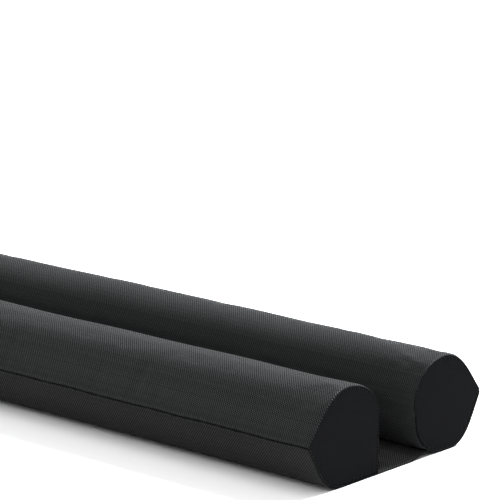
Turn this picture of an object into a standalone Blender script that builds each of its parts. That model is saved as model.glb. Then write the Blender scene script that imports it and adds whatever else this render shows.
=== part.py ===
"""Twin draught excluder for the foot of a door.

Two filled cloth tubes lie side by side and one base cloth joins them: it starts at the
front outer seam, runs under both tubes and the door slot, and ends at the back outer seam.
Each tube end is closed by a flat panel.

Units are metres. X runs along the door, Y from the front tube to the back tube, Z is up.
The origin is on the floor under the middle of the excluder.
"""
import math
from collections import namedtuple

import bmesh
import bpy

# Driving sizes
LENGTH = 0.900         # from end face to end face
DOOR_SLOT = 0.039      # clear width between the two tubes
TUBE_WIDTH = 0.074     # from the slot side to the outer seam
TUBE_HEIGHT = 0.070    # from the floor to the crown
SEAM_HEIGHT = 0.035    # from the floor to the outer seam
CLOTH = 0.0012         # thickness of the base cloth and of the end panels
GAP = 0.0003           # left between neighbouring pieces

# Section of a tube: u runs from the slot side outwards, z up
SHOULDER_WIDTH = 0.033     # slot side to the crown
SHOULDER_DROP = 0.028      # crown down to the straight part of the slot side
CROWN_HANDLE = 0.019       # how far the crown runs on level
UPPER_HANDLE = (-0.010, 0.015)   # direction in which the upper flank meets the seam
LOWER_HANDLE = (-0.008, -0.019)  # direction in which the lower flank leaves the seam
FOOT_START = 0.040         # slot side to where the lower flank reaches the floor
FOOT_HANDLE = 0.018        # how far the floor contact runs on outwards
SEAM_LIP = 0.0007          # the upper cloth's edge, folded over the base cloth's edge

# Lengthwise unevenness of stuffed cloth: slow waves, each a share of the whole
Wave = namedtuple("Wave", "share radians_per_m phase_factor start")
CROWN_WAVES = (Wave(0.6, 17.0, 1.0, 0.0), Wave(0.4, 41.0, 1.7, 0.6))
SEAM_WAVES = (Wave(0.6, 27.0, 1.0, 0.0), Wave(0.4, 66.0, 1.7, 0.6))
CROWN_WANDER = 0.0004
SEAM_WANDER = 0.0005
END_DRAW_IN = 0.0012       # the crown is lower by this at an end face
END_ROUND = 0.0045         # length over which it is drawn in
END_STEPS = (0.0, 0.0008, 0.0025, END_ROUND)
MIDDLE_STEPS = 15          # bays between the drawn-in ends

# Base cloth in the slot: it lifts off the floor to the back tube's round foot
WEB_RISE_START = 0.012     # Y where it leaves the floor
WEB_POINTS = 6
JOIN_STEP = 2              # foot point of the back tube to which it is sewn
STEEPEST_BED = 0.65        # slope up to which the base cloth follows a foot

SMOOTH_BELOW = math.radians(35.0)   # edges flatter than this are shaded smooth

SHOULDER_POINTS = 8
FLANK_POINTS = 9
FOOT_POINTS = 6

Tube = namedtuple("Tube", "name side tuck_width tuck_height phase")
# side: -1 front, +1 back. tuck: the rounding at the foot of the slot side.
TUBES = (
    Tube("front", -1, 0.0030, 0.0030, 0.0),
    Tube("back", 1, 0.0280, 0.0300, 2.1),
)

Finish = namedtuple("Finish", "name colour roughness metallic")
TUBE_CLOTH = Finish("woven_tube_cloth", (0.034, 0.035, 0.038, 1.0), 0.62, 0.0)
BASE_CLOTH = Finish("woven_base_cloth", (0.022, 0.022, 0.023, 1.0), 0.72, 0.0)
PANEL_CLOTH = Finish("plain_end_cloth", (0.014, 0.014, 0.016, 1.0), 0.80, 0.0)


def clear_scene():
    """Remove every object, so the file holds only this part."""
    for item in list(bpy.data.objects):
        bpy.data.objects.remove(item, do_unlink=True)


def make_material(finish):
    """A Principled material with the finish's colour, roughness and metallic value."""
    material = bpy.data.materials.new(finish.name)
    material.use_nodes = True
    shader = material.node_tree.nodes["Principled BSDF"]
    shader.inputs["Base Color"].default_value = finish.colour
    shader.inputs["Roughness"].default_value = finish.roughness
    shader.inputs["Metallic"].default_value = finish.metallic
    return material


def bezier(start, start_handle, end_handle, end, count):
    """Points along a cubic curve, without its first point."""
    points = []
    for step in range(1, count + 1):
        t = step / count
        weights = ((1 - t) ** 3, 3 * (1 - t) ** 2 * t, 3 * (1 - t) * t * t, t ** 3)
        corners = (start, start_handle, end_handle, end)
        points.append(tuple(sum(w * c[axis] for w, c in zip(weights, corners)) for axis in (0, 1)))
    return points


def wander(waves, x, phase):
    """A slow, smooth unevenness between -1 and 1 along the length."""
    return sum(
        wave.share * math.sin(wave.radians_per_m * x + wave.phase_factor * phase + wave.start)
        for wave in waves
    )


def draw_in(x):
    """0 along the tube, rising on a quarter circle to 1 at an end face."""
    inward = LENGTH / 2 - CLOTH - GAP - abs(x)
    if inward >= END_ROUND:
        return 0.0
    across = 1.0 - max(inward, 0.0) / END_ROUND
    return 1.0 - math.sqrt(1.0 - across * across)


def seam_point(tube, x):
    """Where the upper and the lower flank meet, as (u, z)."""
    filled = LENGTH / 2 - CLOTH - GAP
    inside = max(-filled, min(x, filled))
    return (TUBE_WIDTH, SEAM_HEIGHT + SEAM_WANDER * wander(SEAM_WAVES, inside, tube.phase))


def upper_outline(tube, x):
    """The upper cloth from the straight slot side over the crown to the seam."""
    drop = END_DRAW_IN * draw_in(x)
    sag = CROWN_WANDER * (1.0 + wander(CROWN_WAVES, x, tube.phase)) / 2
    crown = TUBE_HEIGHT - sag - drop
    points = []
    for step in range(SHOULDER_POINTS + 1):
        turn = math.pi / 2 * step / SHOULDER_POINTS
        points.append((
            SHOULDER_WIDTH * (1 - math.cos(turn)),
            crown - SHOULDER_DROP + SHOULDER_DROP * math.sin(turn),
        ))
    seam = seam_point(tube, x)
    points += bezier(
        (SHOULDER_WIDTH, crown),
        (SHOULDER_WIDTH + CROWN_HANDLE, crown),
        (seam[0] + UPPER_HANDLE[0], seam[1] + UPPER_HANDLE[1] - drop / 2),
        seam,
        FLANK_POINTS,
    )
    return points


def lower_outline(tube, x):
    """The lower flank from the seam to the floor, where the base cloth's outside lies."""
    seam = seam_point(tube, x)
    return [seam] + bezier(
        seam,
        (seam[0] + LOWER_HANDLE[0], seam[1] + LOWER_HANDLE[1]),
        (FOOT_START + FOOT_HANDLE, 0.0),
        (FOOT_START, 0.0),
        FLANK_POINTS,
    )


def foot_outline(tube, depth=0.0):
    """The rounding from the floor to the slot side, raised by depth square to it."""
    points = []
    for step in range(FOOT_POINTS + 1):
        turn = math.pi / 2 * step / FOOT_POINTS
        slope = min(tube.tuck_height / tube.tuck_width * math.tan(turn), STEEPEST_BED)
        points.append((
            tube.tuck_width * (1 - math.sin(turn)),
            tube.tuck_height * (1 - math.cos(turn)) + depth * math.hypot(1.0, slope),
        ))
    return points


def inset(points, depth):
    """Move an open run of points by depth to the left of its direction of travel."""
    moved = []
    for index, (u, z) in enumerate(points):
        before = points[max(index - 1, 0)]
        after = points[min(index + 1, len(points) - 1)]
        run = (after[0] - before[0], after[1] - before[1])
        size = math.hypot(*run)
        moved.append((u + run[1] / size * depth, z - run[0] / size * depth))
    return moved


def along(points, distance):
    """The point that lies a distance along the first stretch of a run."""
    (u0, z0), (u1, z1) = points[0], points[1]
    share = distance / math.hypot(u1 - u0, z1 - z0)
    return (u0 + (u1 - u0) * share, z0 + (z1 - z0) * share)


def tube_section(tube, x):
    """The closed outline of a filled tube, clear of the base cloth under it."""
    depth = CLOTH + GAP
    lower = lower_outline(tube, x)
    lip_end = along(lower, SEAM_LIP)
    below_lip = [lip_end] + lower[1:]
    bed = inset(below_lip, depth)
    return upper_outline(tube, x) + [lip_end] + bed + foot_outline(tube, depth)


def tube_stations():
    """X of each section: close together at the drawn-in ends, evenly spaced between."""
    end = LENGTH / 2 - CLOTH - GAP
    inner = end - END_ROUND
    left = [-end + step for step in END_STEPS]
    middle = [-inner + 2 * inner * bay / MIDDLE_STEPS for bay in range(1, MIDDLE_STEPS)]
    return left + middle + [-x for x in reversed(left)]


def place(tube, point):
    """The world Y and Z of a section point."""
    return (tube.side * (DOOR_SLOT / 2 + point[0]), point[1])


def loft(name, sections):
    """A closed solid through like outlines, each a list of (x, y, z) points."""
    shape = bmesh.new()
    rings = [[shape.verts.new(point) for point in section] for section in sections]
    for first, second in zip(rings, rings[1:]):
        for index, corner in enumerate(first):
            following = (index + 1) % len(first)
            shape.faces.new((corner, first[following], second[following], second[index]))
    shape.faces.new(rings[0])
    shape.faces.new(rings[-1])
    bmesh.ops.recalc_face_normals(shape, faces=shape.faces)
    mesh = bpy.data.meshes.new(name)
    shape.to_mesh(mesh)
    shape.free()
    mesh.shade_smooth()
    mesh.set_sharp_from_angle(angle=SMOOTH_BELOW)
    return mesh


def add_object(name, mesh, finish_material, collection):
    """Put a mesh into the part's collection with its material."""
    item = bpy.data.objects.new(name, mesh)
    item.data.materials.append(finish_material)
    collection.objects.link(item)
    return item


def build_tube(tube, material, collection):
    """One filled tube: its section carried along all the stations."""
    sections = []
    for x in tube_stations():
        sections.append([(x, *place(tube, point)) for point in tube_section(tube, x)])
    return add_object(f"tube_{tube.name}", loft(f"tube_{tube.name}", sections), material, collection)


def web_line():
    """The base cloth's underside from the front tube's foot to the back tube's, as (y, z)."""
    front, back = TUBES
    followed = [place(back, point) for point in foot_outline(back)[:JOIN_STEP + 1]]
    join_y, join_z = followed[-1]
    points = [place(front, (FOOT_START / 2, 0.0)), place(front, (0.0, 0.0)), (0.0, 0.0)]
    for step in range(WEB_POINTS):
        share = step / WEB_POINTS
        lift = join_z * share * share * (3 - 2 * share)
        points.append((WEB_RISE_START + (join_y - WEB_RISE_START) * share, lift))
    return points + list(reversed(followed))


def base_line(x):
    """The base cloth's underside from the front seam to the back seam, as (y, z)."""
    runs = []
    for tube in TUBES:
        lower = lower_outline(tube, x)
        start = along(lower, SEAM_LIP + GAP)
        runs.append([place(tube, point) for point in [start] + lower[1:]])
    front, back = runs
    return front + web_line() + list(reversed(back))


def build_base_cloth(material, collection):
    """One sheet of cloth: an open surface given its thickness upwards by Solidify."""
    end = LENGTH / 2
    stations = [-end] + tube_stations()[len(END_STEPS) - 1:1 - len(END_STEPS)] + [end]
    shape = bmesh.new()
    rows = [[shape.verts.new((x, y, z)) for y, z in base_line(x)] for x in stations]
    for first, second in zip(rows, rows[1:]):
        for index in range(len(first) - 1):
            shape.faces.new((first[index], second[index], second[index + 1], first[index + 1]))
    mesh = bpy.data.meshes.new("base_cloth")
    shape.to_mesh(mesh)
    shape.free()
    mesh.shade_smooth()
    item = add_object("base_cloth", mesh, material, collection)
    thick = item.modifiers.new("thickness", "SOLIDIFY")
    thick.thickness = CLOTH
    thick.offset = 1.0
    thick.use_even_offset = True
    return item


def build_end_panel(tube, side, side_name, material, collection):
    """A flat panel with the tube's own end section, as a filled curve."""
    name = f"end_{tube.name}_{side_name}"
    outline = bpy.data.curves.new(name, "CURVE")
    outline.dimensions = "2D"
    outline.fill_mode = "BOTH"
    outline.extrude = CLOTH / 2
    end = side * (LENGTH / 2 - CLOTH - GAP)
    points = [place(tube, point) for point in tube_section(tube, end)]
    spline = outline.splines.new("POLY")
    spline.points.add(len(points) - 1)
    for corner, (y, z) in zip(spline.points, points):
        corner.co = (y, z, 0.0, 1.0)
    spline.use_cyclic_u = True
    panel = bpy.data.objects.new(name, outline)
    panel.rotation_euler = (math.pi / 2, 0.0, math.pi / 2)
    panel.location = (side * (LENGTH / 2 - CLOTH / 2), 0.0, 0.0)
    outline.materials.append(material)
    collection.objects.link(panel)
    return panel


def main():
    """Build the draught excluder in its own collection."""
    clear_scene()
    collection = bpy.data.collections.new("draught_excluder")
    bpy.context.scene.collection.children.link(collection)
    tube_material = make_material(TUBE_CLOTH)
    base_material = make_material(BASE_CLOTH)
    panel_material = make_material(PANEL_CLOTH)
    build_base_cloth(base_material, collection)
    for tube in TUBES:
        build_tube(tube, tube_material, collection)
        for side, side_name in ((-1, "left"), (1, "right")):
            build_end_panel(tube, side, side_name, panel_material, collection)


main()
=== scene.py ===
"""Looks of a twin draught excluder for the foot of a door.

Two filled tubes of woven cloth lie on one base cloth, which carries on under the door slot
and joins them. A flat panel of plain cloth closes each tube end. Sizes are in metres, in
the frame's own axes: X along the door, Y from the front tube to the back tube, Z up.
"""

import logging
import math
from dataclasses import dataclass, field, replace
from enum import Enum

import bpy
import numpy as np
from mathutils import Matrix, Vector


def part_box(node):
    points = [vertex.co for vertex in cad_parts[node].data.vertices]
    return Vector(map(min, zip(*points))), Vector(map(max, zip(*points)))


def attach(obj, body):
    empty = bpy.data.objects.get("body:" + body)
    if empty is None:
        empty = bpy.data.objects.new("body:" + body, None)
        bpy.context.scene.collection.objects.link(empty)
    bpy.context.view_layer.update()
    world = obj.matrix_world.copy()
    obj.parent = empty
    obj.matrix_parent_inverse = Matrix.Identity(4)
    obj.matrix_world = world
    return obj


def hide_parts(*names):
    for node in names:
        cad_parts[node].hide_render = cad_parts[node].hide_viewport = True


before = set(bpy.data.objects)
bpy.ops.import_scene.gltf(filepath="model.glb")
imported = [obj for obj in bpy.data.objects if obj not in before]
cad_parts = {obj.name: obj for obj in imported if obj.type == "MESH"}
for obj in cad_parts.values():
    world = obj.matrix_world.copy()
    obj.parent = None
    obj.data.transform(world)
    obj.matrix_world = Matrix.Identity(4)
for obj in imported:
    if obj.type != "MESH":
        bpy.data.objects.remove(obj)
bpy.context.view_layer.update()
CLOTH_PLACE = "cloth_place"
# Point attribute for the mask of the highlight painted into the cloth's colour.
CLOTH_HIGHLIGHT = "cloth_painted_highlight"
SEAM_BULGE = 0.0005
SEAM_BULGE_AT = 0.0022
SEAM_LIP = 0.0005
SEAM_WANDER = 0.0004
SEAM_WANDER_LENGTHS = (0.16, 0.071, 0.043)
SEAM_REACH = 0.01
FINE_STEP = 0.0006
COARSE_STEP = 0.0026
log = logging.getLogger("draught_excluder")

Colour = tuple[float, float, float]
Socket = bpy.types.NodeSocket


class Side(Enum):
    """Which tube a piece belongs to: the sign of its Y."""

    FRONT = -1
    BACK = 1


class Hand(Enum):
    """Which end of the excluder a piece closes: the sign of its X."""

    LEFT = -1
    RIGHT = 1


# Node trees


class Board:
    """Adds nodes to one node tree and links them."""

    def __init__(self, tree: bpy.types.NodeTree) -> None:
        """Start on a node tree."""
        self.tree = tree

    def add(self, kind: str, **settings: object) -> bpy.types.Node:
        """Add a node.

        Args:
            kind: the node's type name, without the ShaderNode prefix.
            settings: properties to set on the node.

        Returns:
            The new node.
        """
        node = self.tree.nodes.new("ShaderNode" + kind)
        node.location.x = 180.0 * len(self.tree.nodes)
        for name, value in settings.items():
            setattr(node, name, value)
        return node

    def feed(self, value: object, socket: Socket) -> None:
        """Link a socket's value, or set it where a plain number or tuple is given.

        Args:
            value: an output socket, a number or a tuple.
            socket: the input that takes it.
        """
        if isinstance(value, bpy.types.NodeSocket):
            self.tree.links.new(value, socket)
        else:
            socket.default_value = value

    def math(self, operation: str, *values: object) -> Socket:
        """Add a Math node.

        Args:
            operation: the node's operation, such as MULTIPLY.
            values: its one to three inputs, as sockets or numbers.

        Returns:
            Its result.
        """
        node = self.add("Math", operation=operation)
        for value, socket in zip(values, node.inputs):
            self.feed(value, socket)
        return node.outputs[0]

    def blend(self, factor: object, first: object, second: object) -> Socket:
        """Mix two numbers.

        Args:
            factor: 0 gives the first, 1 the second.
            first: a socket or number.
            second: a socket or number.

        Returns:
            The mixed number.
        """
        node = self.add("Mix", data_type="FLOAT")
        for value, socket in zip((factor, first, second), (node.inputs[0], node.inputs[2], node.inputs[3])):
            self.feed(value, socket)
        return node.outputs[0]

    def noise(self, place: Socket, scale: float, detail: float, dimensions: str = "3D") -> Socket:
        """Add a noise texture.

        Args:
            place: where to read it: a vector, or a number for 1D.
            scale: its scale.
            detail: its detail.
            dimensions: 3D or 1D.

        Returns:
            The noise, around 0.5.
        """
        node = self.add("TexNoise", noise_dimensions=dimensions)
        node.inputs["Scale"].default_value = scale
        node.inputs["Detail"].default_value = detail
        self.feed(place, node.inputs["W" if dimensions == "1D" else "Vector"])
        return node.outputs[0]

    def tint(self, shade: Socket, colour: Colour) -> Socket:
        """Scale a colour by a shade.

        Args:
            shade: the brightness that varies over the surface.
            colour: the colour at a shade of 1.

        Returns:
            The shaded colour.
        """
        node = self.add("VectorMath", operation="SCALE")
        node.inputs[0].default_value = colour
        self.feed(shade, node.inputs["Scale"])
        return node.outputs[0]

    def fit(self, value: Socket, low: float, high: float, to_low: float, to_high: float) -> Socket:
        """Map a range of numbers onto another and hold it there.

        Args:
            value: the number to map.
            low: value that becomes to_low.
            high: value that becomes to_high.
            to_low: result at low.
            to_high: result at high.

        Returns:
            The mapped number.
        """
        node = self.add("MapRange", clamp=True)
        for number, socket in zip((value, low, high, to_low, to_high), node.inputs):
            self.feed(number, socket)
        return node.outputs[0]


def new_group(name: str, inputs: dict[str, str], outputs: dict[str, str]) -> tuple:
    """Make an empty shader node group.

    Args:
        name: the group's name.
        inputs: socket name to socket kind, Float or Vector.
        outputs: the same for what it puts out.

    Returns:
        The group, its Board, its input node and its output node.
    """
    group = bpy.data.node_groups.new(name, "ShaderNodeTree")
    for side, sockets in (("INPUT", inputs), ("OUTPUT", outputs)):
        for socket, kind in sockets.items():
            group.interface.new_socket(socket, in_out=side, socket_type="NodeSocket" + kind)
    entry = group.nodes.new("NodeGroupInput")
    leave = group.nodes.new("NodeGroupOutput")
    return group, Board(group), entry, leave


def weave_group() -> bpy.types.NodeTree:
    """Plain weave: a small pillow wherever one thread passes over another.

    Returns:
        A group from the place on the cloth to the thread's Height, an Over mask that is 1
        where the crosswise thread is on top, and a Thread shade that differs by thread.
    """
    group, board, entry, leave = new_group(
        "plain_weave",
        {"Place": "Vector", "Warp Pitch": "Float", "Weft Pitch": "Float", "Unevenness": "Float"},
        {"Height": "Float", "Over": "Float", "Thread": "Float"},
    )
    place = board.add("SeparateXYZ")
    board.feed(entry.outputs["Place"], place.inputs[0])
    drift = board.noise(entry.outputs["Place"], scale=90.0, detail=1.0)
    sway = board.math("MULTIPLY", board.math("SUBTRACT", drift, 0.5), entry.outputs["Unevenness"])
    ways = []
    for axis, share, pitch in ((0, 1.0, "Warp Pitch"), (1, -1.0, "Weft Pitch")):
        count = board.math("DIVIDE", place.outputs[axis], entry.outputs[pitch])
        ways.append(board.math("MULTIPLY_ADD", sway, share, count))
    waves = [board.math("SINE", board.math("MULTIPLY", way, math.pi)) for way in ways]
    across, along = (board.math("ABSOLUTE", wave) for wave in waves)
    over = board.math("GREATER_THAN", board.math("MULTIPLY", *waves), 0.0)
    crosswise = board.math("MULTIPLY", across, board.math("POWER", along, 0.5))
    lengthwise = board.math("MULTIPLY", along, board.math("POWER", across, 0.5))
    height = board.blend(over, lengthwise, crosswise)
    shades = []
    for way, seed in zip(ways, (3.0, 11.0)):
        noise = board.add("TexWhiteNoise", noise_dimensions="2D")
        spot = board.add("CombineXYZ")
        board.feed(board.math("FLOOR", way), spot.inputs[0])
        spot.inputs[1].default_value = seed
        board.feed(spot.outputs[0], noise.inputs["Vector"])
        shades.append(noise.outputs["Value"])
    thread = board.blend(over, shades[1], shades[0])
    for name, value in (("Height", height), ("Over", over), ("Thread", thread)):
        board.feed(value, leave.inputs[name])
    return group


def handling_group() -> bpy.types.NodeTree:
    """The soft mottle of stuffed cloth that has been handled.

    Returns:
        A group from the place on the cloth to a Tone around 1 and a slow Swell around 0.
    """
    group, board, entry, leave = new_group(
        "handled_cloth",
        {"Place": "Vector", "Depth": "Float"},
        {"Tone": "Float", "Swell": "Float"},
    )
    readings = []
    for scale, detail in ((14.0, 3.0), (45.0, 2.0)):
        noise = board.noise(entry.outputs["Place"], scale, detail)
        readings.append(board.math("SUBTRACT", noise, 0.5))
    slow, quick = readings
    both = board.math("MULTIPLY_ADD", quick, 0.5, slow)
    tone = board.math("MULTIPLY_ADD", both, entry.outputs["Depth"], 1.0)
    board.feed(tone, leave.inputs["Tone"])
    board.feed(slow, leave.inputs["Swell"])
    return group


def seam_group() -> bpy.types.NodeTree:
    """Needle dimples in a row along a sewn edge, and painted shade of uneven width in the seam's fold.

    Returns:
        A group from the place on the cloth, whose Z is the distance to the seam, to a Shade
        that falls at the fold, which is painted shade in the seam's crease, and a Dimple depth
        along the row of stitches.
    """
    group, board, entry, leave = new_group(
        "seam_dimples_and_painted_shade",
        {"Place": "Vector", "Fold": "Float", "Stitch": "Float", "Row": "Float"},
        {"Shade": "Float", "Dimple": "Float"},
    )
    place = board.add("SeparateXYZ")
    board.feed(entry.outputs["Place"], place.inputs[0])
    distance = board.math("ABSOLUTE", place.outputs[2])
    pull = board.noise(place.outputs[0], scale=110.0, detail=1.0, dimensions="1D")
    width = board.math("MULTIPLY", board.fit(pull, 0.3, 0.7, 0.35, 1.35), entry.outputs["Fold"])
    fold = board.add("MapRange", clamp=True, interpolation_type="SMOOTHSTEP")
    for number, socket in zip((distance, 0.0, width, 0.0, 1.0), fold.inputs):
        board.feed(number, socket)
    count = board.math("DIVIDE", place.outputs[0], entry.outputs["Stitch"])
    wave = board.math("ABSOLUTE", board.math("SINE", board.math("MULTIPLY", count, math.pi)))
    needle = board.math("POWER", board.math("SUBTRACT", 1.0, wave), 3.0)
    offset = board.math("ABSOLUTE", board.math("SUBTRACT", distance, entry.outputs["Row"]))
    near = board.math("SUBTRACT", 1.0, board.math("DIVIDE", offset, entry.outputs["Row"]))
    row = board.math("MAXIMUM", near, 0.0)
    board.feed(fold.outputs[0], leave.inputs["Shade"])
    board.feed(board.math("MULTIPLY", needle, row), leave.inputs["Dimple"])
    return group


# Finishes


@dataclass(frozen=True)
class WovenFinish:
    """A woven cloth.

    Attributes:
        name: the material's name.
        colour: linear colour of the threads.
        pitch: distance between neighbouring threads, along the cloth and across it.
        relief: height of a thread over the gaps.
        roughness: of the threads' tops.
        contrast: how much darker the gaps are, from 0 to 1.
        way_contrast: how much the two thread directions differ, from 0 to 1.
        thread_contrast: how much single threads differ, from 0 to 1.
        sheen: weight of the fibre sheen.
        gloss: specular level of the fibres.
        mottle: depth of the slow changes of tone.
        painted_fold_shade: brightness of the painted shade at a sewn fold, from 0 to 1.
        highlight_opening: how much more the thread directions differ where a highlight is painted.
        painted_lift: how much lighter the painted highlight makes the cloth there.
        unevenness: how far the threads sway, in threads.
        fold: width of the band of painted shade at a seam's fold.
        stitch: distance between needle holes.
        stitch_row: from the seam to the row of stitches.
        swell: height of the slow unevenness.
        dimple: depth of a needle hole.
    """

    name: str
    colour: Colour
    pitch: tuple[float, float]
    relief: float
    roughness: float
    contrast: float
    way_contrast: float
    thread_contrast: float
    sheen: float
    gloss: float
    mottle: float
    painted_fold_shade: float
    highlight_opening: float = 0.0
    painted_lift: float = 0.0
    unevenness: float = 0.35
    fold: float = 0.0010
    stitch: float = 0.0042
    stitch_row: float = 0.0016
    swell: float = 0.0006
    dimple: float = 0.0004

    def build(self, groups: dict[str, bpy.types.NodeTree]) -> bpy.types.Material:
        """Make the material.

        Args:
            groups: the shared node groups by name.

        Returns:
            The material.
        """
        material = bpy.data.materials.new(self.name)
        material.use_nodes = True
        board = Board(material.node_tree)
        shader = material.node_tree.nodes["Principled BSDF"]
        place = board.add("Attribute", attribute_name=CLOTH_PLACE).outputs["Vector"]
        warp, weft = self.pitch
        threading = {"Warp Pitch": warp, "Weft Pitch": weft, "Unevenness": self.unevenness}
        weave = self._group(board, groups["weave"], place, **threading)
        handled = self._group(board, groups["handling"], place, Depth=self.mottle)
        sewing = {"Fold": self.fold, "Stitch": self.stitch, "Row": self.stitch_row}
        sewn = self._group(board, groups["seam"], place, **sewing)
        gaps = board.fit(weave["Height"], 0.0, 0.9, 1.0 - self.contrast, 1.0)
        differ = self.thread_contrast
        threads = board.fit(weave["Thread"], 0.0, 1.0, 1.0 - differ, 1.0 + differ)
        # Painted shade: the colour is darkened in a narrow band along each seam's fold, round the end
        # panels' rims and along the base cloth's cut ends.
        fold = board.fit(sewn["Shade"], 0.0, 1.0, self.painted_fold_shade, 1.0)
        shade = gaps
        # The first factor below is a painted highlight: where the highlight mask is set, it lightens the
        # cloth and widens the thread contrast.
        for other in (self._highlighted_ways(board, weave["Over"]), threads, handled["Tone"], fold):
            shade = board.math("MULTIPLY", shade, other)
        board.feed(board.tint(shade, self.colour), shader.inputs["Base Color"])
        rough = board.fit(weave["Over"], 0.0, 1.0, self.roughness, min(self.roughness + 0.35, 1.0))
        board.feed(rough, shader.inputs["Roughness"])
        board.feed(self._relief(board, weave, handled, sewn), shader.inputs["Normal"])
        shader.inputs["Specular IOR Level"].default_value = self.gloss
        shader.inputs["Sheen Weight"].default_value = self.sheen
        shader.inputs["Sheen Roughness"].default_value = 0.3
        return material

    def _highlighted_ways(self, board: Board, over: Socket) -> Socket:
        """Brightness of the two thread directions, further apart and lighter where a highlight is painted.

        Args:
            board: where to place the nodes.
            over: the weave's mask of the darker direction.

        Returns:
            More than 1 on the lighter threads and less than 1 on the darker ones.
        """
        wear = board.add("Attribute", attribute_name=CLOTH_HIGHLIGHT).outputs["Fac"]
        spread = board.fit(wear, 0.0, 1.0, self.way_contrast, self.way_contrast + self.highlight_opening)
        lifted = board.math("MULTIPLY_ADD", board.math("MULTIPLY", wear, wear), self.painted_lift, 1.0)
        lean = board.math("SUBTRACT", 0.5, over)
        return board.math("MULTIPLY", board.math("MULTIPLY_ADD", spread, lean, 1.0), lifted)

    @staticmethod
    def _group(board: Board, group: bpy.types.NodeTree, place: Socket, **values: float) -> dict[str, Socket]:
        """Place a shared group in the material.

        Args:
            board: where to place it.
            group: the shared node group.
            place: the place on the cloth.
            values: its other inputs.

        Returns:
            Its outputs by name.
        """
        node = board.add("Group", node_tree=group)
        board.feed(place, node.inputs["Place"])
        for name, value in values.items():
            node.inputs[name].default_value = value
        return {socket.name: socket for socket in node.outputs}

    def _relief(self, board: Board, weave: dict, handled: dict, sewn: dict) -> Socket:
        """Join the threads, the slow swell and the needle dimples into one normal.

        Args:
            board: where to place the nodes.
            weave: the weave group's outputs.
            handled: the handling group's outputs.
            sewn: the seam group's outputs.

        Returns:
            The bumped normal.
        """
        threads = board.math("MULTIPLY", weave["Height"], self.relief)
        swelled = board.math("MULTIPLY_ADD", handled["Swell"], self.swell, threads)
        height = board.math("MULTIPLY_ADD", sewn["Dimple"], -self.dimple, swelled)
        bump = board.add("Bump")
        bump.inputs["Strength"].default_value = 1.0
        bump.inputs["Distance"].default_value = 1.0
        board.feed(height, bump.inputs["Height"])
        return bump.outputs["Normal"]


# The finishes: painted_fold_shade is painted shade at the seams, and opening and rubbing paint a highlight
# where the highlight mask is set.
TUBE_FINISH = WovenFinish(
    name="woven_tube_cloth",
    colour=(0.0158, 0.0165, 0.0166),
    pitch=(0.00097, 0.00110),
    relief=0.00020,
    roughness=0.42,
    contrast=0.30,
    way_contrast=1.3,
    thread_contrast=0.15,
    sheen=0.03,
    gloss=0.05,
    mottle=0.10,
    painted_fold_shade=0.3,
    highlight_opening=0.7,
    painted_lift=0.32,
)
BASE_FINISH = replace(
    TUBE_FINISH,
    name="woven_base_cloth",
    colour=(0.0168, 0.0168, 0.0168),
    roughness=0.60,
    way_contrast=1.4,
    thread_contrast=0.12,
    gloss=0.02,
    mottle=0.12,
    painted_fold_shade=0.25,
    highlight_opening=0.5,
    painted_lift=0.8,
)
END_FINISH = WovenFinish(
    name="plain_end_cloth",
    colour=(0.0038, 0.0039, 0.0046),
    pitch=(0.0005, 0.0005),
    relief=0.00003,
    roughness=0.60,
    contrast=0.15,
    way_contrast=0.05,
    thread_contrast=0.05,
    sheen=0.02,
    gloss=0.02,
    mottle=0.06,
    painted_fold_shade=0.55,
)


# Meshes


@dataclass
class Cloth:
    """A mesh laid out as rows of points, with each point's place on the cut cloth.

    Attributes:
        points: rows by columns by 3, in the frame.
        places: the same shape: along the cloth, across it, and distance to the seam.
        wear: rows by columns, 1 where the painted highlight is strongest.
        closed: the last column joins the first.
        capped: the first and the last row are closed with a face.
        end_faces: further faces, as tuples of point numbers.
    """

    points: np.ndarray
    places: np.ndarray
    wear: np.ndarray
    closed: bool = False
    capped: bool = False
    end_faces: list[tuple[int, ...]] = field(default_factory=list)

    def faces(self) -> list[tuple[int, ...]]:
        """List the faces as tuples of point numbers, all facing one way."""
        rows, columns = self.points.shape[:2]
        last = columns if self.closed else columns - 1
        made = []
        for row in range(rows - 1):
            for column in range(last):
                after = (column + 1) % columns
                made.append((
                    row * columns + column,
                    row * columns + after,
                    (row + 1) * columns + after,
                    (row + 1) * columns + column,
                ))
        if self.capped:
            made.append(tuple(reversed(range(columns))))
            made.append(tuple(range((rows - 1) * columns, rows * columns)))
        return made

    def to_object(self, name: str) -> bpy.types.Object:
        """Make a Blender object of it.

        Args:
            name: the object's name.

        Returns:
            The object, smooth shaded, linked to the scene.
        """
        mesh = bpy.data.meshes.new(name)
        mesh.from_pydata(self.points.reshape(-1, 3).tolist(), [], self.faces() + self.end_faces)
        layer = mesh.attributes.new(CLOTH_PLACE, "FLOAT_VECTOR", "POINT")
        layer.data.foreach_set("vector", self.places.astype(np.float32).ravel())
        layer = mesh.attributes.new(CLOTH_HIGHLIGHT, "FLOAT", "POINT")
        layer.data.foreach_set("value", self.wear.astype(np.float32).ravel())
        mesh.validate()
        mesh.shade_smooth()
        mesh.set_sharp_from_angle(angle=math.radians(50.0))
        made = bpy.data.objects.new(name, mesh)
        bpy.context.scene.collection.objects.link(made)
        return made


def bezier(corners: list[tuple[float, float]], count: int) -> np.ndarray:
    """Sample a cubic curve.

    Args:
        corners: its start, two handles and end.
        count: number of samples, both ends included.

    Returns:
        The samples, count by 2.
    """
    t = np.linspace(0.0, 1.0, count)[:, None]
    start, first, second, end = (np.array(corner) for corner in corners)
    return (1 - t) ** 3 * start + 3 * (1 - t) ** 2 * t * first + 3 * (1 - t) * t * t * second + t ** 3 * end


def distances(line: np.ndarray) -> np.ndarray:
    """Distance of each point of a line from its first, measured along it."""
    steps = np.linalg.norm(np.diff(line, axis=0), axis=1)
    return np.concatenate([[0.0], np.cumsum(steps)])


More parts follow.
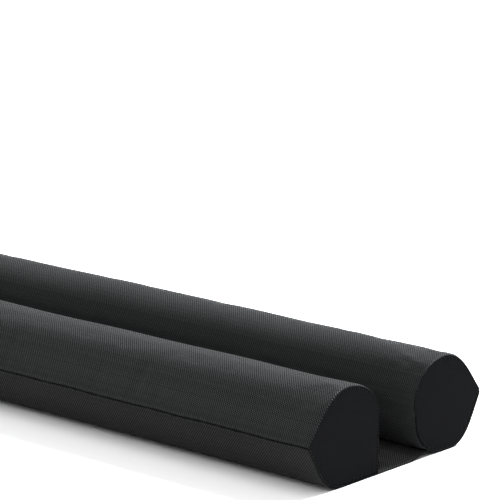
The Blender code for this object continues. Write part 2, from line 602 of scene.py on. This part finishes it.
def resample(line: np.ndarray, wanted: np.ndarray) -> np.ndarray:
    """Points at given distances along a line.

    Args:
        line: points by 2.
        wanted: distances along it.

    Returns:
        The points, as many as wanted, by 2.
    """
    run = distances(line)
    return np.stack([np.interp(wanted, run, line[:, axis]) for axis in range(2)], axis=1)


def normals(line: np.ndarray) -> np.ndarray:
    """Unit normals to the left of a line's direction of travel."""
    run = np.gradient(line, axis=0)
    run /= np.maximum(np.linalg.norm(run, axis=1), 1e-12)[:, None]
    return np.stack([-run[:, 1], run[:, 0]], axis=1)


def spaced(length: float, fine: float, coarse: float, growth: float = 1.35) -> np.ndarray:
    """Distances that start fine at 0 and grow coarser.

    Args:
        length: the last distance.
        fine: the first step.
        coarse: the largest step.
        growth: ratio of one step to the one before.

    Returns:
        The distances, from 0 to length.
    """
    steps = [0.0]
    step = fine
    while steps[-1] + step < length - step / 2:
        steps.append(steps[-1] + step)
        step = min(step * growth, coarse)
    return np.array(steps + [length])


# The excluder


@dataclass(frozen=True)
class Sizes:
    """Sizes that all pieces share.

    Attributes:
        end: X of the right end face.
        slot: half the clear width between the tubes.
        width: of a tube, from the slot side to the seam.
        height: of a tube.
        thickness: of the base cloth and the end panels.
        seam_height: of the outer seam.
        foot_start: from the slot side to where the lower flank meets the floor.
        clearance: wanted between the base cloth and the tubes; see FilledTube.section.
        round_length: length of the rounding at a tube's ends.
    """

    end: float
    slot: float
    width: float
    height: float
    thickness: float = 0.0009
    clearance: float = 0.0003
    seam_height: float = 0.035
    foot_start: float = 0.040
    round_length: float = 0.0024

    @classmethod
    def from_frame(cls) -> "Sizes":
        """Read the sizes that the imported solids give."""
        low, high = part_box("tube_back")
        return cls(end=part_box("base_cloth")[1].x, slot=low.y, width=high.y - low.y, height=high.z)

    def stations(self, step: float) -> np.ndarray:
        """X of each row of points: a step apart, and closer at the drawn-in ends.

        Args:
            step: distance between rows along the tube.

        Returns:
            X values from the left end to the right end.
        """
        turn = np.linspace(0.0, math.pi / 2, 6)
        right = self.end - self.round_length * (1.0 - np.sin(turn))
        count = max(2, round(2 * right[0] / step))
        middle = np.linspace(-right[0], right[0], count + 1)[1:-1]
        return np.concatenate([-right[::-1], middle, right])

    def rounding(self, x: np.ndarray) -> np.ndarray:
        """Share of the end rounding at each X: 0 along the tube, 1 at an end face."""
        inward = np.clip((self.end - np.abs(x)) / self.round_length, 0.0, 1.0)
        return 1.0 - np.sqrt(1.0 - (1.0 - inward) ** 2)

    def round_depth(self, line: np.ndarray) -> np.ndarray:
        """How far each u, z point of an outline is drawn in at an end face."""
        level = line[:, 1] / self.height
        levels = (0.0, 0.06, 0.25, 0.5, 0.8, 1.0)
        depth = np.interp(level, levels, (0.0, 0.0004, 0.0011, 0.0006, 0.0010, 0.0014))
        flank = np.clip(line[:, 0] / 0.025, 0.05, 1.0)
        return depth * flank


def puff(away: np.ndarray) -> np.ndarray:
    """How far cloth bulges beside a seam, at each distance away from it."""
    share = np.abs(away) / SEAM_BULGE_AT
    return SEAM_BULGE * share * np.exp(1.0 - share)


def waves(x: np.ndarray, phase: float, lengths: tuple[float, ...]) -> np.ndarray:
    """A smooth unevenness between -1 and 1.

    Args:
        x: where to read it.
        phase: sets this piece's own pattern.
        lengths: wavelengths that it is made of.

    Returns:
        Its value at each x.
    """
    total = sum(
        np.sin(2 * math.pi * x / length + phase * (index + 1.3))
        for index, length in enumerate(lengths)
    )
    return total / len(lengths)


@dataclass(frozen=True)
class Stuffing:
    """The filling's push on its cloth, from a short cloth simulation.

    Attributes:
        pressure: of the filling.
        slack: share by which the cloth is cut larger than its shape.
        most: the furthest that the cloth may move.
        frames: length of the simulation.
        row_skip: the simulated cloth keeps one row of points in this many.
    """

    pressure: float = 4.0
    slack: float = 0.003
    most: float = 0.0005
    frames: int = 20
    row_skip: int = 3

    def fill(self, cloth: Cloth, held: np.ndarray) -> None:
        """Swell a tube of cloth in place.

        Args:
            cloth: the tube, whose points are moved.
            held: rows by columns, 1 where the cloth is sewn or lies on something.
        """
        rows = np.unique(np.append(np.arange(0, len(held), self.row_skip), len(held) - 1))
        part = Cloth(cloth.points[rows], cloth.places[rows], cloth.wear[rows], closed=True, capped=True)
        body = part.to_object("stuffing")
        sewn = body.vertex_groups.new(name="held")
        for number, weight in enumerate(held[rows].ravel()):
            sewn.add([number], float(weight), "REPLACE")
        self._press(body)
        scene = bpy.context.scene
        for frame_number in range(1, self.frames + 1):
            scene.frame_set(frame_number)
        swollen = body.evaluated_get(bpy.context.evaluated_depsgraph_get())
        after = np.empty(len(swollen.data.vertices) * 3)
        swollen.data.vertices.foreach_get("co", after)
        moved = after.reshape(part.points.shape) - part.points
        scene.frame_set(1)
        bpy.data.objects.remove(body)
        length = np.linalg.norm(moved, axis=2, keepdims=True)
        usual, furthest = 1000.0 * float(np.median(length)), 1000.0 * float(length.max())
        log.info("the simulation moves the cloth by %.2f mm, at most %.2f mm", usual, furthest)
        moved *= self.most / np.maximum(length, self.most)
        for column in range(held.shape[1]):
            for axis in range(3):
                step = np.interp(np.arange(len(held)), rows, moved[:, column, axis])
                cloth.points[:, column, axis] += step * (1.0 - held[:, column])

    def _press(self, body: bpy.types.Object) -> None:
        """Give the simulated cloth its pressure and its sewn edges.

        Args:
            body: the simulated cloth.
        """
        settings = body.modifiers.new("stuffing", "CLOTH").settings
        settings.quality = 6
        settings.use_pressure = True
        settings.uniform_pressure_force = self.pressure
        settings.shrink_min = -self.slack
        settings.vertex_group_mass = "held"
        settings.effector_weights.gravity = 0.0


@dataclass
class FilledTube:
    """A tube of woven cloth round a firm filling.

    Attributes:
        side: which tube it is.
        sizes: the shared sizes.
        tuck_width: width of the rounding at the foot of the slot side.
        tuck_height: its height.
        phase: sets its own unevenness.
        shoulder_width: of the rounding from the slot side to the crown.
        shoulder_drop: its height.
        crown_handle: how far the crown runs level towards the seam.
        row_step: distance between rows of points.
        pucker: depth of the small gathers at the seam.
        centre: u, z about which the end panels are drawn.
        highlight_at: distances from the seam where the painted highlight starts, is full, eases and stops.
        seam_hold: the cloth is held this near the seam, and freed over as much again.
        stuffing: the filling's push.
        bed_first: from the seam to the first point of the underside.
        bed_coarse: largest step between the points of the underside.
    """

    side: Side
    sizes: Sizes
    tuck_width: float
    tuck_height: float
    phase: float
    shoulder_width: float = 0.033
    shoulder_drop: float = 0.028
    crown_handle: float = 0.019
    row_step: float = 0.0025
    pucker: float = 0.00035
    centre: tuple[float, float] = (0.0345, 0.035)
    highlight_at: tuple[float, ...] = (0.004, 0.042, 0.052, 0.070)
    seam_hold: float = 0.004
    stuffing: Stuffing = Stuffing()
    bed_first: float = 0.0012
    bed_coarse: float = 0.0060

    @property
    def name(self) -> str:
        """Name of the tube's piece."""
        return f"{self.side.name.lower()}_tube"

    @property
    def node(self) -> str:
        """Name of the CAD node that it stands for."""
        return f"tube_{self.side.name.lower()}"

    @property
    def free_length(self) -> float:
        """Length of the cloth from the seam over the crown to the foot of the slot side."""
        return float(distances(self.upper())[-1])

    def upper(self) -> np.ndarray:
        """The upper cloth's outline from the seam over the crown to the slot side, as u, z."""
        sizes = self.sizes
        turn = np.linspace(0.0, math.pi / 2, 60)
        rise = sizes.height - self.shoulder_drop
        shoulder = np.stack([
            self.shoulder_width * (1 - np.cos(turn)),
            rise + self.shoulder_drop * np.sin(turn),
        ], axis=1)
        flank = bezier([
            (self.shoulder_width, sizes.height),
            (self.shoulder_width + self.crown_handle, sizes.height),
            (sizes.width - 0.010, sizes.seam_height + 0.015),
            (sizes.width, sizes.seam_height),
        ], 90)
        upright = np.array([(0.0, self.tuck_height)])
        return np.concatenate([upright, shoulder, flank[1:]])[::-1]

    def lower(self) -> np.ndarray:
        """The lower flank from the seam to the floor, as u, z."""
        sizes = self.sizes
        return bezier([
            (sizes.width, sizes.seam_height),
            (sizes.width - 0.008, sizes.seam_height - 0.019),
            (sizes.foot_start + 0.018, 0.0),
            (sizes.foot_start, 0.0),
        ], 60)

    def foot(self) -> np.ndarray:
        """The rounding from the floor to the slot side, as u, z."""
        turn = np.linspace(0.0, math.pi / 2, 24)
        return np.stack([
            self.tuck_width * (1 - np.sin(turn)),
            self.tuck_height * (1 - np.cos(turn)),
        ], axis=1)

    def section(self) -> tuple[np.ndarray, np.ndarray]:
        """The closed outline with the tube's own points.

        The underside is lifted onto the base cloth. The lift fades out from the end of the
        lower flank, which is too early for the front tube: its small foot starts 37 mm
        further on, so its flat underside lies at Z 0, in the base cloth.

        Returns:
            The outline as u, z, and each point's distance from the seam along the cloth.
        """
        upper = self.upper()
        length = distances(upper)[-1]
        out = SEAM_LIP + spaced(length - SEAM_LIP, FINE_STEP, COARSE_STEP)
        top = resample(upper, out)
        lower, foot = self.lower(), self.foot()
        under = np.concatenate([lower, foot[1:]])
        first = self.bed_first
        bed_at = spaced(distances(under)[-1] - first, first, self.bed_coarse)[:-1] + first
        bed = resample(under, bed_at)
        climbed = (bed_at - distances(lower)[-1]) / distances(foot)[-1]
        leaving = np.clip((climbed - 0.35) / 0.55, 0.0, 1.0)
        covered = 1.0 - leaving * leaving * (3.0 - 2.0 * leaving)
        depth = (self.sizes.thickness + self.sizes.clearance) * np.clip(bed_at / 0.002, 0.0, 1.0) * covered
        bed = bed + normals(bed) * depth[:, None] * -1.0
        groove = np.array([[upper[0][0] - 0.0008, upper[0][1] + 0.0001]])
        outline = np.concatenate([groove, top, bed[::-1]])
        beyond = distances(under)[-1] - bed_at[::-1]
        around = np.concatenate([[0.0], out, length + beyond])
        return outline, around

    def build(self) -> bpy.types.Object:
        """Make the tube's mesh.

        Returns:
            The closed tube.
        """
        outline, around = self.section()
        x = self.sizes.stations(self.row_step)
        share = self.sizes.rounding(x)
        depth = self.sizes.round_depth(outline)
        beside = puff(around)
        points = np.zeros((len(x) + 2, len(outline), 3))
        places = np.zeros_like(points)
        free = around < self.free_length
        upward = np.clip(around / 0.02, 0.0, 1.0) * free
        grip = np.exp(-around / 0.006)
        from_seam = np.minimum(around, around[-1] + self.bed_first - around)
        outward = self.outward(outline)
        sink = waves(x, self.phase, (0.019, 0.0113, 0.0307)) * 0.5 + 0.5
        seam_shift = SEAM_WANDER * waves(x, self.phase, SEAM_WANDER_LENGTHS)
        swell = 0.0004 * waves(x, self.phase + 1.0, (0.31, 0.12))
        for row, station in enumerate(x):
            ring = outline + outward * (
                (swell[row] - 0.0002) * upward - self.pucker * grip * sink[row] + beside - depth * share[row]
            )[:, None]
            ring[:, 1] += seam_shift[row] * np.exp(-from_seam / SEAM_REACH)
            points[row + 1] = self._place(station, ring)
            places[row + 1] = np.stack([np.full(len(around), station), around, around], axis=1)
        for row, sign in ((0, 1.0), (-1, -1.0)):
            edge = points[1] if row == 0 else points[-2]
            centre = edge.mean(axis=0)
            points[row] = centre + (edge - centre) * 0.985
            points[row][:, 0] = edge[:, 0] + sign * 0.0016
            places[row] = places[1] if row == 0 else places[-2]
        # Painted highlight over the upper flank and the crown, which are lit from the back.
        crown = np.interp(around, self.highlight_at, (0.0, 1.0, 1.0, 0.0))
        wear = np.tile(crown, (len(points), 1))
        way = slice(None, None, self.side.value)
        cloth = Cloth(points[:, way], places[:, way], wear[:, way], closed=True, capped=True)
        near_end = np.concatenate([[1.0], share > 0.0, [1.0]])
        sewn = 1.0 - np.clip((from_seam - self.seam_hold) / self.seam_hold, 0.0, 1.0)
        held = np.maximum(near_end[:, None], np.where(free, sewn, 1.0)[None, :])
        self.stuffing.fill(cloth, held[:, way])
        return cloth.to_object(self.name)

    @staticmethod
    def outward(outline: np.ndarray) -> np.ndarray:
        """Unit vectors out of a closed outline that runs counter-clockwise."""
        run = np.roll(outline, -1, axis=0) - np.roll(outline, 1, axis=0)
        run /= np.maximum(np.linalg.norm(run, axis=1), 1e-12)[:, None]
        return np.stack([run[:, 1], -run[:, 0]], axis=1)

    def _place(self, x: float, ring: np.ndarray) -> np.ndarray:
        """A ring of u, z points at one X, in the frame."""
        y = self.side.value * (self.sizes.slot + ring[:, 0])
        return np.stack([np.full(len(ring), x), y, ring[:, 1]], axis=1)


@dataclass
class BaseCloth:
    """The one cloth under both tubes and through the door slot.

    Attributes:
        sizes: the shared sizes.
        tubes: the front tube and the back tube.
        rise_start: Y where the cloth leaves the floor towards the back tube's foot.
        join_turn: how far up that foot it follows.
        row_step: distance between rows of points.
        slot_fade: over which the painted highlight on the cloth in the slot fades out beside it.
    """

    sizes: Sizes
    tubes: tuple[FilledTube, FilledTube]
    rise_start: float = 0.012
    join_turn: float = math.radians(30.0)
    row_step: float = 0.0025
    slot_fade: float = 0.006

    def path(self) -> np.ndarray:
        """The cloth's underside from the front seam to the back seam, as y, z."""
        front, back = self.tubes
        flanks = []
        for tube in self.tubes:
            lower = tube.lower()
            length = distances(lower)[-1]
            wanted = SEAM_LIP + spaced(length - SEAM_LIP, FINE_STEP, COARSE_STEP)
            flank = resample(lower, wanted)
            flanks.append(np.stack([tube.side.value * (self.sizes.slot + flank[:, 0]), flank[:, 1]], axis=1))
        foot = back.foot()
        turn = np.linspace(0.0, math.pi / 2, len(foot))
        foot = foot[turn <= self.join_turn]
        followed = np.stack([self.sizes.slot + foot[:, 0], foot[:, 1]], axis=1)[::-1]
        join = followed[0]
        share = np.linspace(0.0, 1.0, 12)[:-1]
        rise = np.stack([
            self.rise_start + (join[0] - self.rise_start) * share,
            join[1] * share * share * (3 - 2 * share),
        ], axis=1)
        start = flanks[0][-1][0]
        level = np.linspace(start, self.rise_start, 24)[1:-1]
        flat = np.stack([level, np.zeros(len(level))], axis=1)
        return np.concatenate([flanks[0], flat, rise, followed, flanks[1][::-1]])

    @property
    def width(self) -> float:
        """The width to which the cloth is cut."""
        return float(distances(self.path())[-1])

    def build(self) -> bpy.types.Object:
        """Make the cloth's mesh.

        Returns:
            The sheet, with its thickness.
        """
        path = self.path()
        run = distances(path)
        inward = normals(path)
        x = self.sizes.stations(self.row_step)
        share = self.sizes.rounding(x)
        half = len(path) // 2
        seam_at = np.minimum(run, run[-1] - run)
        fade = np.exp(-seam_at / SEAM_REACH)
        depth = self.sizes.round_depth(np.stack([np.abs(path[:, 0]) - self.sizes.slot, path[:, 1]], axis=1))
        depth *= np.abs(path[:, 0]) > self.sizes.slot + self.sizes.foot_start
        beside = puff(seam_at)
        rows, places = [], []
        for station, drawn in zip(x, share):
            line = path.copy()
            for tube, part in zip(self.tubes, (slice(0, half), slice(half, None))):
                shift = SEAM_WANDER * waves(np.array(station), tube.phase, SEAM_WANDER_LENGTHS)
                line[part, 1] += float(shift) * fade[part]
            line += inward * (depth * drawn - beside)[:, None]
            rows.append(line)
            # Distance for the painted seam shade: to the nearer seam, or twice the distance to a cut end, so
            # the cut ends are darkened too.
            seam_shade_distance = np.minimum(seam_at, 2.0 * (self.sizes.end - abs(station)))
            places.append(np.stack([np.full(len(run), station), run + 0.0004, seam_shade_distance], axis=1))
        under = np.array([[(station, y, z) for y, z in line] for station, line in zip(x, rows)])
        over = under.copy()
        over[:, :, 1:] += inward[None] * self.sizes.thickness
        points = np.concatenate([under, over[:, ::-1]], axis=1)
        place = np.array(places)
        place = np.concatenate([place, place[:, ::-1]], axis=1)
        # Painted highlight on the cloth in the slot, which is lit from above.
        in_slot = np.clip((self.sizes.slot - np.abs(path[:, 0])) / self.slot_fade + 1.0, 0.0, 1.0)
        wear = np.tile(np.concatenate([in_slot, in_slot[::-1]]), (len(x), 1))
        return self._solid(points, place, wear)

    @staticmethod
    def _solid(points: np.ndarray, places: np.ndarray, wear: np.ndarray) -> bpy.types.Object:
        """Close the two layers into one sheet, with quads across its two cut ends.

        Args:
            points: the underside's rows, each followed by the upper side's in reverse.
            places: each point's place on the cloth.
            wear: each point's share of the painted highlight.

        Returns:
            The sheet.
        """
        columns = points.shape[1]
        faces = []
        for start, forward in ((0, False), ((len(points) - 1) * columns, True)):
            for column in range(columns // 2 - 1):
                face = (
                    start + column,
                    start + column + 1,
                    start + columns - 2 - column,
                    start + columns - 1 - column,
                )
                faces.append(face if forward else tuple(reversed(face)))
        return Cloth(points, places, wear, closed=True, end_faces=faces).to_object("base_sheet")


@dataclass
class EndPanel:
    """A flat panel of plain cloth that closes one end of a tube.

    Attributes:
        tube: the tube that it closes.
        hand: which end.
        inset: of its edge inside the tube's outline.
        dome: how far its middle stands out over its edge.
        recess: of its middle behind the end face.
        roll: how far its rim turns in.
        bed_inset: a further inset along the lower flank.
        rings: number of rings of points inside the rim.
        rim: width of the rim, as a share of the way to the middle.
    """

    tube: FilledTube
    hand: Hand
    inset: float = 0.0002
    dome: float = 0.0002
    recess: float = 0.00005
    roll: float = 0.00012
    bed_inset: float = 0.0006
    rings: int = 14
    rim: float = 0.035

    @property
    def name(self) -> str:
        """Name of the panel's piece."""
        return f"{self.tube.side.name.lower()}_{self.hand.name.lower()}_end"

    @property
    def node(self) -> str:
        """Name of the CAD node that it stands for."""
        return f"end_{self.tube.side.name.lower()}_{self.hand.name.lower()}"

    def outline(self) -> np.ndarray:
        """The panel's edge, as u, z."""
        tube = self.tube
        whole = np.concatenate([tube.upper(), tube.foot()[::-1][1:], tube.lower()[::-1][1:-1]])
        count = 110
        run = distances(np.concatenate([whole, whole[:1]]))
        edge = resample(np.concatenate([whole, whole[:1]]), np.linspace(0.0, run[-1], count + 1)[:-1])
        inward = FilledTube.outward(edge) * -1.0
        below = np.clip((tube.sizes.seam_height - edge[:, 1]) / 0.004, 0.0, 1.0)
        bed = below * (tube.sizes.thickness + tube.sizes.clearance)
        flank = below * np.clip(edge[:, 0] / 0.06 - 0.6, 0.0, 1.0) * self.bed_inset
        depth = tube.sizes.round_depth(edge) + self.inset + bed + flank
        return edge + inward * depth[:, None]

    def build(self) -> bpy.types.Object:
        """Make the panel's mesh.

        Returns:
            The thin, slightly domed panel.
        """
        edge = self.outline()
        middle = np.array(self.tube.centre)
        face = self.tube.sizes.end - self.recess
        shares = 1.0 - np.concatenate([[0.0, 0.006, 0.018, self.rim], np.linspace(0.07, 0.98, self.rings)])
        front, back = [], []
        for share in shares:
            ring = middle + (edge - middle) * share
            rolled = max(0.0, 1.0 - (1.0 - share) / self.rim)
            x = face - self.dome * share ** 4 - self.roll * rolled * rolled
            front.append((x, ring, share))
            back.append((face - self.dome - self.tube.sizes.thickness, ring, share))
        layers = front[::-1] + back
        points, places = [], []
        for x, ring, share in layers:
            y = self.tube.side.value * (self.tube.sizes.slot + ring[:, 0])
            points.append(np.stack([np.full(len(ring), self.hand.value * x), y, ring[:, 1]], axis=1))
            # Distance from the rim, which puts painted shade round the panel's edge.
            rim_distance = np.full(len(ring), (1.0 - share) * middle[1])
            places.append(np.stack([ring[:, 0], ring[:, 1], rim_distance], axis=1))
        points, places = np.array(points), np.array(places)
        if self.hand.value * self.tube.side.value > 0:
            points, places = points[:, ::-1], places[:, ::-1]
        # The end panels get no painted highlight.
        no_highlight = np.zeros(points.shape[:2])
        return Cloth(points, places, no_highlight, closed=True, capped=True).to_object(self.name)

    @property
    def flat(self) -> tuple[float, float, float]:
        """The cut's width, its length and its area."""
        edge = self.outline()
        width, height = np.ptp(edge, axis=0)
        y, z = edge[:, 0], edge[:, 1]
        area = abs(np.sum(y * np.roll(z, -1) - z * np.roll(y, -1))) / 2
        return float(width), float(height), float(area)


@dataclass
class DraughtExcluder:
    """The whole excluder: two tubes, four end panels and the base cloth."""

    sizes: Sizes = field(default_factory=Sizes.from_frame)

    def build(self) -> None:
        groups = {"weave": weave_group(), "handling": handling_group(), "seam": seam_group()}
        finishes = {
            "tube_cloth": TUBE_FINISH.build(groups),
            "base_cloth": BASE_FINISH.build(groups),
            "end_cloth": END_FINISH.build(groups),
        }
        front = FilledTube(Side.FRONT, self.sizes, tuck_width=0.003, tuck_height=0.003, phase=0.0)
        back = FilledTube(Side.BACK, self.sizes, tuck_width=0.028, tuck_height=0.030, phase=2.1)
        for tube in (front, back):
            piece = tube.build()
            self._dress(piece, tube.node, "tube_cloth", finishes)
        base = BaseCloth(self.sizes, (front, back))
        sheet = base.build()
        self._dress(sheet, "base_cloth", "base_cloth", finishes)
        base.width
        for tube in (front, back):
            for hand in Hand:
                panel = EndPanel(tube, hand)
                piece = panel.build()
                self._dress(piece, panel.node, "end_cloth", finishes)
                width, height, area = panel.flat
                tube.name

    @staticmethod
    def _dress(piece: bpy.types.Object, node: str, slot: str, finishes: dict) -> None:
        """Give a piece its material and its body, and hide the CAD node that it stands for.

        Args:
            piece: the piece.
            node: the CAD node that it stands for.
            slot: the record's material slot.
            finishes: materials by slot.
        """
        piece.data.materials.append(finishes[slot])
        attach(piece, "root")
        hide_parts(node)
        log.info("%s: %d faces", piece.name, len(piece.data.polygons))


# Studio


@dataclass(frozen=True)
class Lamp:
    """A large soft lamp far away.

    Attributes:
        name: the lamp's name.
        power: its strength.
        spread: its width as seen from the object, in degrees.
        tilt: its lean from straight overhead towards the back, in degrees.
        colour: of its light.
    """

    name: str
    power: float
    spread: float
    tilt: float
    colour: Colour = (1.0, 1.0, 1.0)

    def build(self) -> None:
        """Hang the lamp."""
        light = bpy.data.lights.new(self.name, "SUN")
        light.energy = self.power
        light.angle = math.radians(self.spread)
        light.color = self.colour
        lamp = bpy.data.objects.new(self.name, light)
        lamp.location = (0.0, 1.0, 2.0)
        lamp.rotation_euler.x = -math.radians(self.tilt)
        bpy.context.scene.collection.objects.link(lamp)


@dataclass
class Studio:
    """The pale floor, the soft light and the camera.

    Attributes:
        sizes: the excluder's sizes.
        floor_size: side of the floor.
        sky: brightness of the even light all round.
        lamps: the large soft lamps.
        azimuth: the camera's turn about Z, in degrees.
        elevation: its height over the horizon, in degrees.
        distance: from the camera to the point it is aimed at.
        lens: focal length for a 36 mm wide picture, in mm.
        aim: that point, measured from the middle of the right end face's foot.
    """

    sizes: Sizes
    floor_size: float = 60.0
    sky: float = 0.71
    lamps: tuple[Lamp, ...] = (
        Lamp("back_softbox", power=10.5, spread=22.0, tilt=49.0, colour=(0.97, 1.0, 1.03)),
        Lamp("front_softbox", power=1.75, spread=60.0, tilt=-24.0),
    )
    azimuth: float = 41.4674
    elevation: float = 13.2917
    distance: float = 1.9
    lens: float = 207.8
    aim: tuple[float, float, float] = (-0.0519, -0.0927, 0.1611)

    def build(self) -> None:
        """Set up the floor, the light and the camera."""
        self._floor()
        self._sky()
        for lamp in self.lamps:
            lamp.build()
        self._camera()
        bpy.context.scene.view_settings.view_transform = "Standard"

    def _floor(self) -> None:
        """Lay the floor."""
        half = self.floor_size / 2
        mesh = bpy.data.meshes.new("floor")
        corners = [(-half, -half, 0.0), (half, -half, 0.0), (half, half, 0.0), (-half, half, 0.0)]
        mesh.from_pydata(corners, [], [(0, 1, 2, 3)])
        material = bpy.data.materials.new("pale_floor")
        material.use_nodes = True
        shader = material.node_tree.nodes["Principled BSDF"]
        shader.inputs["Base Color"].default_value = (0.86, 0.86, 0.86, 1.0)
        shader.inputs["Roughness"].default_value = 0.9
        shader.inputs["Specular IOR Level"].default_value = 0.1
        mesh.materials.append(material)
        floor = bpy.data.objects.new("floor", mesh)
        bpy.context.scene.collection.objects.link(floor)

    def _sky(self) -> None:
        """Light the scene evenly from all round."""
        world = bpy.data.worlds.new("studio")
        world.use_nodes = True
        background = world.node_tree.nodes["Background"]
        background.inputs["Color"].default_value = (1.0, 1.0, 1.0, 1.0)
        background.inputs["Strength"].default_value = self.sky
        bpy.context.scene.world = world

    def _camera(self) -> None:
        """Aim the camera."""
        turn, rise = math.radians(self.azimuth), math.radians(self.elevation)
        back = Vector((
            math.sin(turn) * math.cos(rise),
            -math.cos(turn) * math.cos(rise),
            math.sin(rise),
        ))
        target = Vector((self.sizes.end, 0.0, 0.0)) + Vector(self.aim)
        data = bpy.data.cameras.new("camera")
        data.sensor_width = 36.0
        data.lens = self.lens
        data.clip_start = 0.05
        data.clip_end = 100.0
        camera = bpy.data.objects.new("camera", data)
        camera.location = target + back * self.distance
        camera.rotation_mode = "QUATERNION"
        camera.rotation_quaternion = (-back).to_track_quat("-Z", "Y")
        bpy.context.scene.collection.objects.link(camera)
        bpy.context.scene.camera = camera


def main() -> None:
    """Build the excluder and its studio."""
    logging.basicConfig(level=logging.INFO, format="%(name)s %(message)s")
    excluder = DraughtExcluder()
    excluder.build()
    Studio(excluder.sizes).build()


if __name__ == "__main__":
    main()
